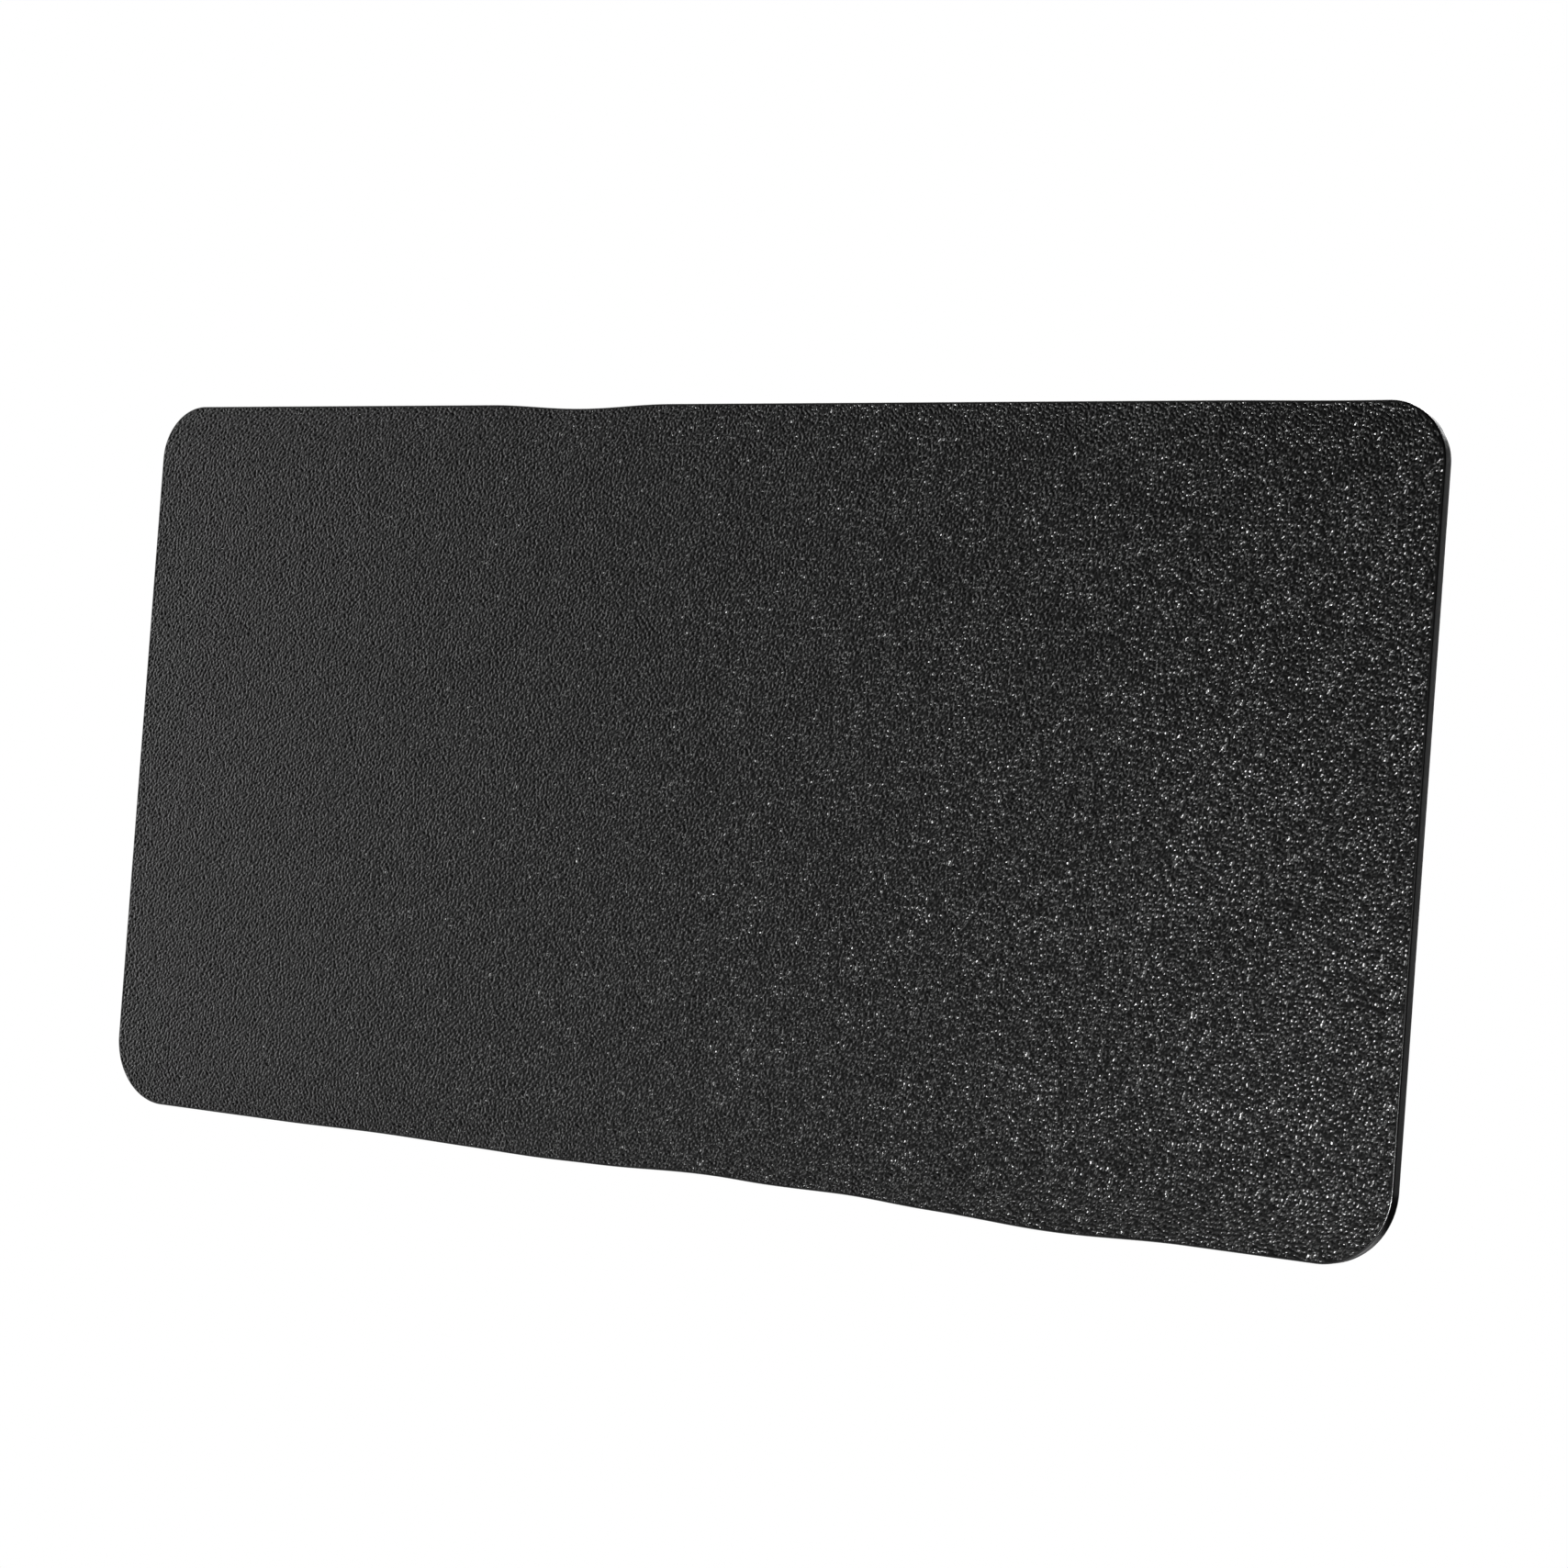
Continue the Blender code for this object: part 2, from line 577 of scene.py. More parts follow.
@dataclass(frozen=True)
class GrainedVinyl:
    """Black embossed vinyl: satin crowns, duller valleys, fine pores over both. The valleys' colour is
    darkened as painted shade.
    """

    crown_light: float = 0.0020
    valley_painted_shade: float = 0.0006
    crown_roughness: float = 0.285
    valley_roughness: float = 0.295
    base_ior: float = 1.32
    coat_roughness: float = 0.16
    pores_per_metre: float = 1100.0
    pore_depth: float = 0.00006
    pore_dulling: float = 0.006
    clouds_per_metre: float = 9.0
    cloud_strength: float = 0.08

    def build(self) -> bpy.types.Material:
        """Makes the material. It reads the attribute grain, from 0 in a valley to 1 on a crown, and paints
        shade into the valleys' colour.
        """
        board = NodeBoard("face_vinyl_grained")
        grain = board.tree.nodes.new("ShaderNodeAttribute")
        grain.attribute_name = "grain"
        height = grain.outputs["Fac"]
        clouds = board.noise(self.clouds_per_metre, 3.0)
        faded = board.scaled(clouds, 0.3, 0.7, -self.cloud_strength, self.cloud_strength)
        shade = board.maths("ADD", height, faded)
        # Painted shade: the colour darkens from the crowns down into the valleys, standing in for the shade
        # in the pits.
        middle = (self.crown_light + self.valley_painted_shade) / 2
        colour = board.colours(shade, ((0.0, self.valley_painted_shade), (0.55, middle), (1.0, self.crown_light)))
        pores = board.noise(self.pores_per_metre, 2.0, 0.55)
        dull = board.scaled(height, 0.15, 0.9, self.valley_roughness, self.crown_roughness)
        rough = board.maths("ADD", dull, board.scaled(pores, 0.3, 0.7, -self.pore_dulling, self.pore_dulling))
        relief = board.bump(pores, self.pore_depth)
        return board.dress(Base__Color=colour, Roughness=rough, Normal=relief, IOR=self.base_ior,
                           Coat__Weight=1.0, Coat__Roughness=self.coat_roughness, Coat__Normal=relief)


@dataclass(frozen=True)
class Foam:
    """Closed-cell foam: matt, with small round cells."""

    name: str
    light: float
    cells_per_metre: float
    cell_depth: float = 0.0002

    def build(self) -> bpy.types.Material:
        """Makes the material."""
        board = NodeBoard(self.name)
        cells = board.node("TexVoronoi", Vector=board.place, Scale=self.cells_per_metre).outputs["Distance"]
        colour = board.colours(cells, ((0.0, self.light * 1.25), (0.7, self.light * 0.6)))
        rough = board.scaled(cells, 0.0, 0.8, 0.85, 0.98)
        return board.dress(Base__Color=colour, Roughness=rough, Normal=board.bump(cells, self.cell_depth))


@dataclass(frozen=True)
class CoatedCloth:
    """Plain-woven polyester with a thin black coating that leaves the threads to be felt."""

    threads_per_metre: float = 900.0
    light: float = 0.022
    thread_depth: float = 0.00012
    scuffs_per_metre: float = 14.0

    def build(self) -> bpy.types.Material:
        """Makes the material: two sets of ribs, and each thread's over and under."""
        board = NodeBoard("backing_cloth_woven")
        waves = board.threads(self.threads_per_metre)
        over = board.scaled(board.maths("MULTIPLY", *waves), -1.0, 1.0, 0.0, 1.0)
        ribs = board.maths("MAXIMUM", *(board.maths("ABSOLUTE", wave, 0.0) for wave in waves))
        weave = board.maths("ADD", board.maths("MULTIPLY", over, 0.55), board.maths("MULTIPLY", ribs, 0.45))
        scuffs = board.noise(self.scuffs_per_metre, 5.0, 0.6)
        shade = board.maths("MULTIPLY", weave, board.scaled(scuffs, 0.3, 0.7, 0.75, 1.2))
        colour = board.colours(shade, ((0.0, self.light * 0.35), (0.6, self.light), (1.0, self.light * 1.9)))
        rough = board.scaled(weave, 0.0, 1.0, 0.78, 0.52)
        relief = board.bump(weave, self.thread_depth)
        return board.dress(Base__Color=colour, Roughness=rough, Normal=relief)


@dataclass(frozen=True)
class LoopPile:
    """Brushed loop tape: a short black nap with a soft sheen."""

    light: float = 0.024
    loops_per_metre: float = 1500.0
    loop_depth: float = 0.0005
    brush_strokes_per_metre: float = 60.0
    sheen: float = 0.35

    def build(self) -> bpy.types.Material:
        """Makes the material."""
        board = NodeBoard("loop_pile")
        fluff = board.noise(self.loops_per_metre, 4.0, 0.7)
        brushed = board.noise(self.brush_strokes_per_metre)
        mixed = board.maths("MULTIPLY", fluff, board.scaled(brushed, 0.3, 0.7, 0.8, 1.2))
        colour = board.colours(mixed, ((0.2, self.light * 0.3), (0.5, self.light), (0.8, self.light * 2.4)))
        rough = board.scaled(fluff, 0.2, 0.8, 1.0, 0.85)
        relief = board.bump(fluff, self.loop_depth)
        return board.dress(Base__Color=colour, Roughness=rough, Normal=relief, Sheen__Weight=self.sheen,
                           Sheen__Roughness=0.5)


@dataclass(frozen=True)
class MouldedNylon:
    """Moulded black nylon, slightly waxy."""

    name: str
    light: float = 0.018
    gloss: float = 0.38
    flow_lines_per_metre: float = 220.0
    flow_depth: float = 0.00003

    def build(self) -> bpy.types.Material:
        """Makes the material."""
        board = NodeBoard(self.name)
        flow = board.noise(self.flow_lines_per_metre, 3.0, 0.6)
        colour = board.colours(flow, ((0.3, self.light * 0.8), (0.7, self.light * 1.3)))
        rough = board.scaled(flow, 0.3, 0.7, self.gloss, self.gloss + 0.14)
        return board.dress(Base__Color=colour, Roughness=rough, Normal=board.bump(flow, self.flow_depth))


@dataclass(frozen=True)
class AdhesiveFilm:
    """Milky acrylic film on a fine scrim, with the odd trapped bubble."""

    light: float = 0.52
    scrim_per_metre: float = 700.0
    scrim_depth: float = 0.00004
    haze_per_metre: float = 90.0

    def build(self) -> bpy.types.Material:
        """Makes the material."""
        board = NodeBoard("adhesive_milky")
        waves = board.threads(self.scrim_per_metre)
        scrim = board.scaled(board.maths("MAXIMUM", *waves), -1.0, 1.0, 0.0, 1.0)
        haze = board.noise(self.haze_per_metre, 4.0, 0.6)
        shade = board.maths("MULTIPLY", board.scaled(scrim, 0.0, 1.0, 0.88, 1.0),
                            board.scaled(haze, 0.3, 0.7, 0.85, 1.0))
        colour = board.colours(shade, ((0.6, self.light * 0.75), (1.0, self.light)), (1.0, 0.985, 0.93))
        rough = board.scaled(haze, 0.3, 0.7, 0.28, 0.5)
        return board.dress(Base__Color=colour, Roughness=rough, Normal=board.bump(scrim, self.scrim_depth))


@dataclass(frozen=True)
class Thread:
    """Twisted black polyester thread."""

    light: float = 0.045
    twists_per_metre: float = 2600.0
    twist_depth: float = 0.00008

    def build(self) -> bpy.types.Material:
        """Makes the material."""
        board = NodeBoard("stitch_thread")
        twist = board.noise(self.twists_per_metre)
        colour = board.colours(twist, ((0.3, self.light * 0.5), (0.7, self.light * 1.5)))
        return board.dress(Base__Color=colour, Roughness=board.scaled(twist, 0.2, 0.8, 0.5, 0.75),
                           Normal=board.bump(twist, self.twist_depth))


@dataclass(frozen=True)
class PlainStage:
    """The pale floor's finish."""

    light: float = 0.80

    def build(self) -> bpy.types.Material:
        """Makes the material."""
        board = NodeBoard("pale_floor")
        return board.dress(Base__Color=(self.light, self.light, self.light, 1.0), Roughness=0.9)


# ------------------------------------------------------------
# Sub-assemblies
# ------------------------------------------------------------


def show(name: str, mesh: bpy.types.Mesh, material: bpy.types.Material, body: Body,
         node: str | None, place: Vector | None = None) -> bpy.types.Object:
    """Puts a piece in the scene and ties it to the frame.

    Args:
        name: the piece's name.
        mesh: its mesh.
        material: its finish.
        body: the body that it rides on.
        node: the solid that it stands for, if any.
        place: where its origin goes.

    Returns:
        The piece.
    """
    piece = bpy.data.objects.new(name, mesh)
    if not mesh.materials:
        mesh.materials.append(material)
    if place is not None:
        piece.location = place
    bpy.context.scene.collection.objects.link(piece)
    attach(piece, body.value)
    if node is not None:
        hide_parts(node)
    log.info("%s: %d faces, on %s", name, len(mesh.polygons), body.value)
    return piece


@dataclass
class PadLayers:
    """The pad itself: the grained skin, its two foams and the backing cloth."""

    top_radius: float = 0.045
    bottom_radius: float = 0.055
    skin_thickness: float = 0.0012
    face_edge: float = 0.0012
    face_edge_steps: int = 7
    rear_edge: float = 0.0009
    rear_edge_steps: int = 5
    side_wall_rings: int = 3
    foam_edge: float = 0.0005
    cloth_edge: float = 0.0004
    skin_step: float = 0.0011
    foam_step: float = 0.012
    cloth_step: float = 0.004
    grain: Grain = Grain()
    grain_fade: float = 0.0007
    weld_inset: float = 0.009
    weld_half_width: float = 0.0022
    weld_depth: float = 0.0004
    top_waves: tuple[Wave, ...] = (
        Wave(-0.150, 0.090, -0.0034),
        Wave(0.520, 0.100, -0.0006),
    )
    bottom_waves: tuple[Wave, ...] = (
        Wave(-0.300, 0.110, 0.0011),
        Wave(-0.140, 0.070, -0.0008),
        Wave(0.030, 0.115, 0.0036),
        Wave(0.150, 0.090, 0.0030),
        Wave(0.335, 0.110, -0.0034),
    )

    def outline(self) -> Outline:
        """The outline that every layer of the pad follows."""
        low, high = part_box("face_skin")
        half_width, half_height = (high.x - low.x) / 2, (high.z - low.z) / 2
        return Outline(half_width, half_height, self.top_radius, self.bottom_radius, self.top_waves,
                       self.bottom_waves)

    def skin(self) -> bpy.types.Object:
        """Builds the grained skin: a shallow tray, open towards the wall, with rounded edges."""
        low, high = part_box("face_skin")
        outline = self.outline()
        panel = Panel(outline, self.face_edge, self.skin_step)
        height, along, up = self.grain.at(panel.x, panel.z, outline)
        inside = outline.depth_inside(panel.x, panel.z) - self.face_edge
        blend = eased(inside / self.grain_fade)
        height = 1.0 - (1.0 - height) * blend
        shell = Shell()
        front = shell.add(panel.grid_points(low.y + (1.0 - height) * self.grain.depth))
        shell.quads.append(panel.quads(Facing.OUT))
        last = front[panel.loop]
        for out, y in self.skin_profile(low.y, high.y):
            ring = shell.add(panel.ring_points(out, y))
            shell.strip(last, ring)
            last = ring
        shell.caps.append(last[::-1])
        mesh = shell.mesh("face_skin_grained")
        values = np.ones(shell.count, np.float32)
        values[: len(height)] = height
        mesh.attributes.new("grain", "FLOAT", "POINT").data.foreach_set("value", values)
        self.face_grain(mesh, along * blend, up * blend, blend > 0.5)
        piece = show("face_skin_grained", mesh, GrainedVinyl().build(), Body.PAD, "face_skin")
        return piece

    def skin_profile(self, front: float, rear: float) -> list[tuple[float, float]]:
        """The skin's profile, from the edge of the face round to the inner floor of the tray.

        Args:
            front: the face's place along Y.
            rear: the rear rim's place along Y.

        Returns:
            How far outwards each ring lies from the edge of the face, and its place along Y.
        """
        profile = [(out, front + back) for out, back in arc_profile(self.face_edge, self.face_edge_steps)]
        side = np.linspace(front + self.face_edge, rear - self.rear_edge, self.side_wall_rings + 2)[1:-1]
        profile += [(self.face_edge, float(y)) for y in side]
        rear_arc = reversed(arc_profile(self.rear_edge, self.rear_edge_steps))
        profile += [(self.face_edge - self.rear_edge + out, rear - back) for out, back in rear_arc]
        profile.append((self.face_edge - self.rear_edge, rear))
        inner = self.face_edge - self.skin_thickness
        return profile + [(inner, rear), (inner, front + self.skin_thickness)]

    def face_grain(self, mesh: bpy.types.Mesh, along: np.ndarray, up: np.ndarray,
                   grained: np.ndarray) -> None:
        """Turns the face's normals to the grain's own slopes, which are finer than the grid.

        Args:
            mesh: the skin's mesh, whose first points are the face's.
            along: how fast the grain rises along the width at each of those, per metre.
            up: how fast it rises along the height, per metre.
            grained: which of them carry the grain.
        """
        facing = np.zeros((len(mesh.vertices), 3), np.float32)
        depth = self.grain.depth
        slopes = np.stack([-along * depth, np.full(len(along), -1.0), -up * depth], axis=1)
        slopes /= np.linalg.norm(slopes, axis=1)[:, None]
        facing[: len(along)][grained] = slopes[grained]
        mesh.normals_split_custom_set_from_vertices(facing.tolist())

    def foam(self, node: str, finish: Foam) -> bpy.types.Object:
        """Builds one foam layer.

        Args:
            node: the solid that it stands for.
            finish: its finish.

        Returns:
            The piece.
        """
        low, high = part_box(node)
        outline = self.outline()
        mesh = slab(outline, outline.half_width - high.x, self.foam_step, low.y, high.y, self.foam_edge,
                    node + "_layer")
        piece = show(node + "_layer", mesh, finish.build(), Body.PAD, node)
        return piece

    def backing(self) -> bpy.types.Object:
        """Builds the backing cloth, with the line along which it is welded to the skin."""
        low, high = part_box("backing_sheet")
        outline = self.outline()
        inset = outline.half_width - high.x
        panel = Panel(outline, inset + self.cloth_edge, self.cloth_step)
        inside = outline.depth_inside(panel.x, panel.z)
        weld = np.clip(1.0 - np.abs(inside - self.weld_inset) / self.weld_half_width, 0.0, 1.0)
        rear = high.y - self.weld_depth * eased(weld)
        mesh = slab(outline, inset, self.cloth_step, low.y, rear, self.cloth_edge, "backing_cloth_sheet")
        cloth = CoatedCloth().build()
        piece = show("backing_cloth_sheet", mesh, cloth, Body.PAD, "backing_sheet")
        return piece

    def build(self) -> None:
        """Builds every layer, from the face to the back."""
        self.skin()
        self.foam("impact_foam", Foam("impact_foam_cells", 0.060, 1400.0))
        self.foam("firm_foam", Foam("firm_foam_cells", 0.045, 2200.0))
        self.backing()


@dataclass
class Fasteners:
    """The hook-and-loop squares: loop tapes on the pad, hook tapes and adhesive films on the wall."""

    corner: float = 0.006
    tape_edge: float = 0.0002
    nap: Grain = Grain(pitch=0.0034, spread=0.5, valley=-1.6, crown=1.6, seed=5)
    pile_step: float = 0.0012
    pile_rise: float = 0.00045
    selvedge: float = 0.0030
    selvedge_fade: float = 0.0015
    base_share: float = 0.45
    base_step: float = 0.010
    hook_pitch: float = 0.0028
    hook_margin: float = 0.0035
    hook_sides: int = 5
    stem_radius: float = 0.00018
    foot_flare: float = 1.5
    foot_sunk: float = 0.0001
    waist_share: float = 0.35
    neck_share: float = 0.70
    cap_share: float = 0.72
    cap_radius: float = 0.00042
    tip_share: float = 0.55
    stitch_inset: float = 0.0018
    stitch_length: float = 0.0030
    stitch_gap: float = 0.0012
    stitch_rings: int = 7
    seam_step: float = 0.0006
    thread_radius: float = 0.00022
    thread_sides: int = 6
    thread_arch: float = 1.6
    thread_sunk: float = 0.9
    thread_end: float = 0.45

    def square(self, node: str) -> tuple[Outline, Vector, float, float]:
        """One square's outline and place.

        Args:
            node: the solid that gives its size.

        Returns:
            The outline about the square's centre, the centre, and its front and rear along Y.
        """
        low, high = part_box(node)
        centre = Vector(((low.x + high.x) / 2, 0.0, (low.z + high.z) / 2))
        outline = Outline((high.x - low.x) / 2, (high.z - low.z) / 2, self.corner, self.corner)
        return outline, centre, low.y, high.y

    def loop_mesh(self, node: str) -> bpy.types.Mesh:
        """A loop tape: a woven base with a napped pile on its wall side.

        Args:
            node: the solid that gives its size.

        Returns:
            The mesh, about the square's centre.
        """
        outline, _, front, rear = self.square(node)
        panel = Panel(outline, self.tape_edge, self.pile_step)
        nap = self.nap.at(panel.x, panel.z, outline)[0]
        inside = outline.depth_inside(panel.x, panel.z)
        napped = np.clip((inside - self.selvedge) / self.selvedge_fade, 0.0, 1.0)
        face = rear - self.pile_rise * (1.0 - nap * napped)
        return slab(outline, 0.0, self.pile_step, front, face, self.tape_edge, "loop_pile")

    def hook_mesh(self, node: str) -> bpy.types.Mesh:
        """A hook tape: a moulded base with rows of small mushroom hooks on its pad side.

        Args:
            node: the solid that gives its size.

        Returns:
            The mesh, about the square's centre.
        """
        outline, _, front, rear = self.square(node)
        base = rear - (rear - front) * self.base_share
        plate = slab(outline, 0.0, self.base_step, base, rear, self.tape_edge, "hook_rows")
        columns = int((2 * (outline.half_width - self.hook_margin)) / self.hook_pitch)
        rows = int((2 * (outline.half_height - self.hook_margin)) / self.hook_pitch)
        turns = np.arange(self.hook_sides) * math.tau / self.hook_sides
        tall = base - front
        profile = (
            (self.stem_radius * self.foot_flare, base + self.foot_sunk),
            (self.stem_radius, base - self.waist_share * tall),
            (self.stem_radius, base - self.neck_share * tall),
            (self.cap_radius, base - self.cap_share * tall),
            (self.cap_radius * self.tip_share, front),
        )
        shell = Shell()
        for row in range(rows):
            for column in range(columns):
                x = (column - (columns - 1) / 2) * self.hook_pitch
                z = (row - (rows - 1) / 2) * self.hook_pitch
                self.add_hook(shell, x, z, turns, profile)
        hooks = shell.mesh("hooks")
        return joined("hook_rows", plate, hooks)

    def add_hook(self, shell: Shell, x: float, z: float, turns: np.ndarray,
                 profile: tuple[tuple[float, float], ...]) -> None:
        """Adds one hook to a shell.

        Args:
            shell: the shell.
            x: the hook's place along the width.
            z: the hook's place along the height.
            turns: the angles of its sides.
            profile: its radius and place along Y, from its foot to its tip.
        """
        loops = []
        for radius, y in profile:
            depth = np.full(len(turns), y)
            ring = np.stack([x + radius * np.cos(turns), depth, z + radius * np.sin(turns)], axis=1)
            loops.append(shell.add(ring))
        for near, far in zip(loops[1:], loops):
            shell.strip(near, far)
        shell.caps.append(loops[-1])
        shell.caps.append(loops[0][::-1])

    def stitch_mesh(self, node: str) -> bpy.types.Mesh:
        """The line of stitches that holds a loop tape to the backing cloth.

        Args:
            node: the solid that gives the tape's size.

        Returns:
            The mesh, about the square's centre.
        """
        outline, _, _, rear = self.square(node)
        line = Panel(outline, self.stitch_inset, self.seam_step)
        path = line.ring_points(0.0, rear - self.pile_rise)
        steps = np.linalg.norm(np.roll(path, -1, axis=0) - path, axis=1)
        along = np.concatenate([[0.0], np.cumsum(steps)])
        closed = np.vstack([path, path[:1]])
        pitch = self.stitch_length + self.stitch_gap
        count = int(along[-1] / pitch)
        pitch = along[-1] / count
        shell = Shell()
        for stitch in range(count):
            places = stitch * pitch + np.linspace(0.0, self.stitch_length, self.stitch_rings)
            centre = np.stack([np.interp(places, along, closed[:, k]) for k in range(3)], axis=1)
            self.add_stitch(shell, centre)
        return shell.mesh("loop_stitches")

    def add_stitch(self, shell: Shell, centre: np.ndarray) -> None:
        """Adds one stitch, which rises out of the tape and dives back in.

        Args:
            shell: the shell.
            centre: the points along the stitch, on the tape's surface.
        """
        ahead = centre[-1] - centre[0]
        ahead = ahead / np.linalg.norm(ahead)
        wallwards = np.array((0.0, 1.0, 0.0))
        side = np.cross(ahead, wallwards)
        turns = np.arange(self.thread_sides) * math.tau / self.thread_sides
        section = np.cos(turns)[:, None] * side + np.sin(turns)[:, None] * wallwards
        loops = []
        for point, share in zip(centre, np.linspace(0.0, 1.0, len(centre))):
            arch = math.sin(math.pi * share)
            lift = self.thread_radius * (self.thread_arch * arch - self.thread_sunk)
            fat = self.thread_radius * (self.thread_end + (1.0 - self.thread_end) * arch)
            loops.append(shell.add(point + lift * wallwards + fat * section))
        for near, far in zip(loops, loops[1:]):
            shell.strip(near, far)
        shell.caps.append(loops[0])
        shell.caps.append(loops[-1][::-1])

    def build(self) -> None:
        """Builds every square, and gives the adhesive films their finish."""
        pile, nylon, thread = LoopPile().build(), MouldedNylon("hook_nylon").build(), Thread().build()
        film = AdhesiveFilm().build()
        loop_mesh = self.loop_mesh("loop_tape_1")
        hook_mesh = self.hook_mesh("hook_tape_1")
        stitch_mesh = self.stitch_mesh("loop_tape_1")
        for number in FASTENERS:
            loop, hook = f"loop_tape_{number}", f"hook_tape_{number}"
            outline, centre, _, _ = self.square(loop)
            tape = show(f"{loop}_pile", loop_mesh, pile, Body.PAD, loop, centre)
            seam = f"loop_stitches_{number}"
            stitches = show(seam, stitch_mesh, thread, Body.PAD, None, centre)
            show(f"{hook}_hooks", hook_mesh, nylon, Body.WALL, hook, self.square(hook)[1])
            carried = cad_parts[f"adhesive_film_{number}"]
            carried.data.materials.clear()
            carried.data.materials.append(film)
            log.info("adhesive_film_%d: carried over with its finish", number)


def joined(name: str, *meshes: bpy.types.Mesh) -> bpy.types.Mesh:
    """Joins meshes into one, each staying a closed body of its own.

    Args:
        name: the new mesh's name.
        *meshes: the meshes, which are removed.

    Returns:
        The new mesh.
    """
    points, faces = [], []
    for mesh in meshes:
        start = len(points)
        points += [tuple(vertex.co) for vertex in mesh.vertices]
        faces += [[start + number for number in face.vertices] for face in mesh.polygons]
        bpy.data.meshes.remove(mesh)
    whole = bpy.data.meshes.new(name)
    whole.from_pydata(points, [], faces)
    whole.shade_smooth()
    whole.set_sharp_from_angle(angle=math.radians(SHARP_EDGE_DEGREES))
    return whole


# ------------------------------------------------------------
# Studio
# ------------------------------------------------------------


def away_from_face(azimuth: float, elevation: float) -> Vector:
    """A direction out from the face.

    Args:
        azimuth: its angle to the right of straight out, in degrees.
        elevation: its angle above the horizontal, in degrees.

    Returns:
        The direction, of length 1.
    """
    turn, tilt = math.radians(azimuth), math.radians(elevation)
    return Vector((math.sin(turn) * math.cos(tilt), -math.cos(turn) * math.cos(tilt), math.sin(tilt)))


@dataclass(frozen=True)
class Lamp:
    """One square soft lamp, placed by where it stands as seen from the middle of the face."""

    name: str
    azimuth: float
    elevation: float
    size: float
    power: float

    def place(self, aim: Vector, distance: float) -> None:
        """Hangs the lamp and turns it to the pad.

        Args:
            aim: the point that it faces.
            distance: how far from it the lamp hangs.
        """
        away = away_from_face(self.azimuth, self.elevation)
        light = bpy.data.lights.new(self.name, "AREA")
        light.shape = "SQUARE"
        light.size = self.size
        light.energy = self.power
        lamp = bpy.data.objects.new(self.name, light)
        lamp.location = aim + away * distance
        lamp.rotation_euler = away.to_track_quat("Z", "Y").to_euler()
        bpy.context.scene.collection.objects.link(lamp)


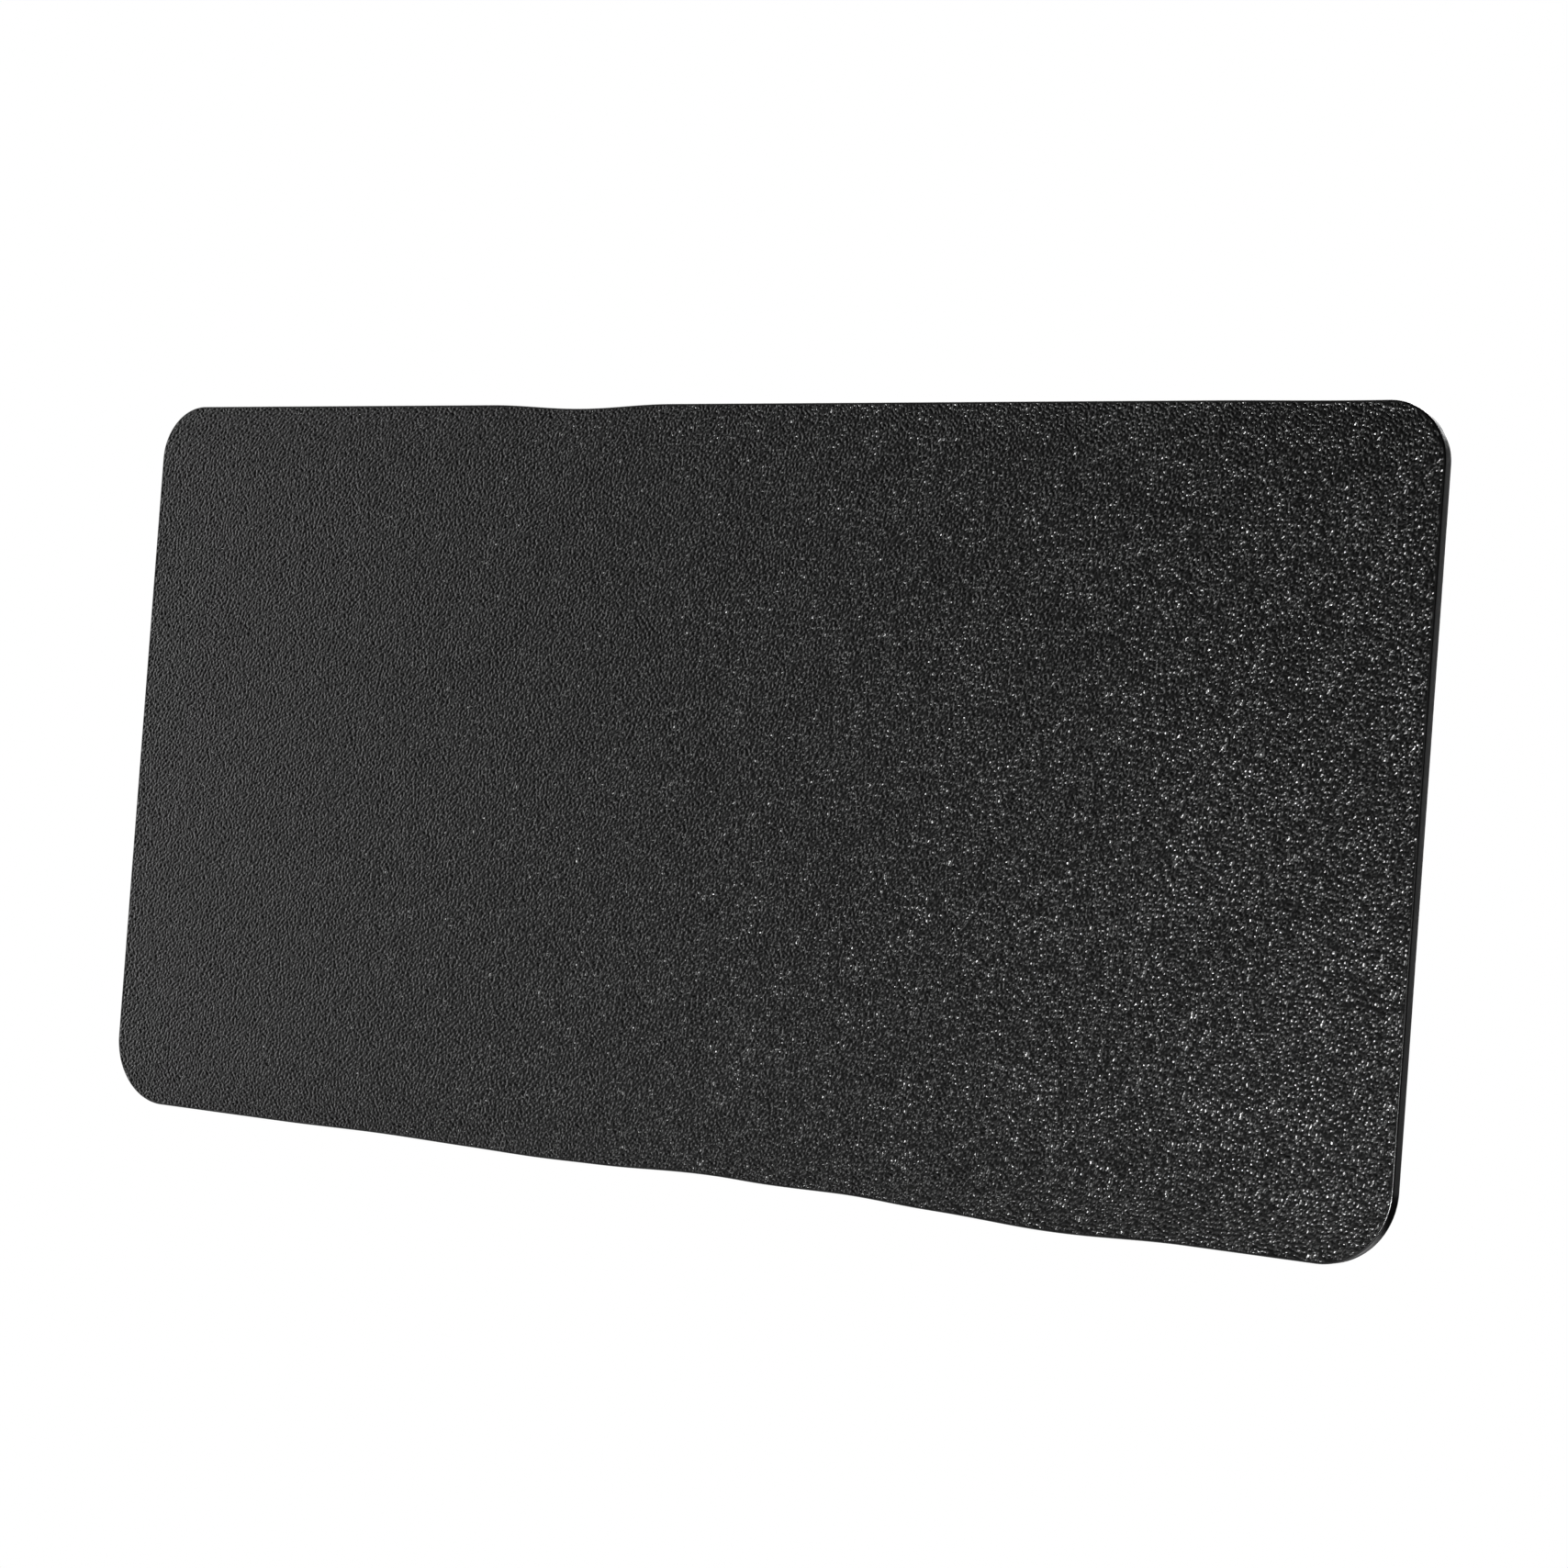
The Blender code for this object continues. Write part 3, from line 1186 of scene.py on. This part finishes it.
@dataclass
class Studio:
    """The camera, the surroundings, the floor and the lamps.

    Two small key lamps pick out the grain on the right. Softboxes beside and behind the pad light its rims.
    """

    azimuth: float = 34.16
    elevation: float = -0.915
    roll: float = 4.248
    distance: float = 2.826
    aim_x: float = 0.074
    aim_z: float = 0.0076
    lens: float = 85.0
    sensor_width: float = 36.0
    floor_drop: float = 0.85
    floor_radius: float = 1.9
    floor_facets: int = 96
    glow_azimuth: float = -80.0
    glow_falloff: float = 6.5
    glow: float = 2.05
    dim: float = 0.006
    lamp_distance: float = 2.8
    lamps: tuple[Lamp, ...] = (
        Lamp("right_key", 31.0, -16.0, 0.30, 60.0),
        Lamp("middle_key", 14.0, -20.0, 0.20, 18.0),
        Lamp("side_softbox", 146.0, 3.0, 1.4, 0.7),
        Lamp("left_softbox", 240.0, 5.0, 1.2, 2.0),
        Lamp("rim_softbox", 235.0, 45.0, 2.0, 25.0),
        Lamp("back_softbox", 180.0, 12.0, 1.6, 40.0),
    )

    def aim(self) -> Vector:
        """The point on the face that the camera looks at."""
        low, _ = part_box("face_skin")
        return Vector((self.aim_x, low.y, self.aim_z))

    def camera(self) -> None:
        """Sets up the camera."""
        lean = math.radians(self.roll)
        back = away_from_face(self.azimuth, self.elevation)
        right = Vector((0.0, 0.0, 1.0)).cross(back).normalized()
        up = back.cross(right)
        leant_right = right * math.cos(lean) + up * math.sin(lean)
        leant_up = up * math.cos(lean) - right * math.sin(lean)
        data = bpy.data.cameras.new("main_camera")
        data.lens = self.lens
        data.sensor_width = self.sensor_width
        camera = bpy.data.objects.new("main_camera", data)
        axes = Matrix((leant_right, leant_up, back)).transposed()
        camera.matrix_world = Matrix.Translation(self.aim() + back * self.distance) @ axes.to_4x4()
        bpy.context.scene.collection.objects.link(camera)
        bpy.context.scene.camera = camera

    def surroundings(self) -> None:
        """A white backdrop, and a soft glow on the left that fades to a dim studio."""
        world = bpy.data.worlds.new("surroundings")
        world.use_nodes = True
        tree = world.node_tree
        tree.nodes.clear()
        place = tree.nodes.new("ShaderNodeTexCoord")
        share = tree.nodes.new("ShaderNodeVectorMath")
        share.operation = "DOT_PRODUCT"
        share.inputs[1].default_value = away_from_face(self.glow_azimuth, 0.0)
        tree.links.new(place.outputs["Generated"], share.inputs[0])
        value = share.outputs["Value"]
        steps = (("MAXIMUM", 0.0), ("POWER", self.glow_falloff), ("MULTIPLY", self.glow), ("ADD", self.dim))
        for what, number in steps:
            step = tree.nodes.new("ShaderNodeMath")
            step.operation = what
            step.inputs[1].default_value = number
            tree.links.new(value, step.inputs[0])
            value = step.outputs[0]
        lit = tree.nodes.new("ShaderNodeBackground")
        tree.links.new(value, lit.inputs["Strength"])
        lit.inputs["Color"].default_value = (1.0, 1.0, 1.0, 1.0)
        seen = tree.nodes.new("ShaderNodeBackground")
        seen.inputs["Color"].default_value = (1.0, 1.0, 1.0, 1.0)
        path = tree.nodes.new("ShaderNodeLightPath")
        mix = tree.nodes.new("ShaderNodeMixShader")
        tree.links.new(path.outputs["Is Camera Ray"], mix.inputs[0])
        tree.links.new(lit.outputs[0], mix.inputs[1])
        tree.links.new(seen.outputs[0], mix.inputs[2])
        out = tree.nodes.new("ShaderNodeOutputWorld")
        tree.links.new(mix.outputs[0], out.inputs["Surface"])
        bpy.context.scene.world = world

    def floor(self) -> None:
        """A round pale floor, well below the pad."""
        low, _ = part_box("face_skin")
        turns = np.arange(self.floor_facets) * math.tau / self.floor_facets
        x, y = self.floor_radius * np.cos(turns), self.floor_radius * np.sin(turns)
        points = [(float(a), float(b), low.z - self.floor_drop) for a, b in zip(x, y)]
        mesh = bpy.data.meshes.new("floor")
        mesh.from_pydata(points, [], [list(range(len(points)))])
        mesh.materials.append(PlainStage().build())
        floor = bpy.data.objects.new("floor", mesh)
        bpy.context.scene.collection.objects.link(floor)

    def build(self) -> None:
        """Sets up everything that isn't part of the pad."""
        self.camera()
        self.surroundings()
        self.floor()
        for lamp in self.lamps:
            lamp.place(self.aim(), self.lamp_distance)
        bpy.context.scene.view_settings.view_transform = "Standard"
        log.info("studio: camera at %.1f degrees, lens %.0f mm", self.azimuth, self.lens)


def main() -> None:
    """Builds the pad, its fasteners and the studio, in that order."""
    logging.basicConfig(level=logging.INFO, format="%(name)s: %(message)s")
    PadLayers().build()
    Fasteners().build()
    Studio().build()


if __name__ == "__main__":
    main()
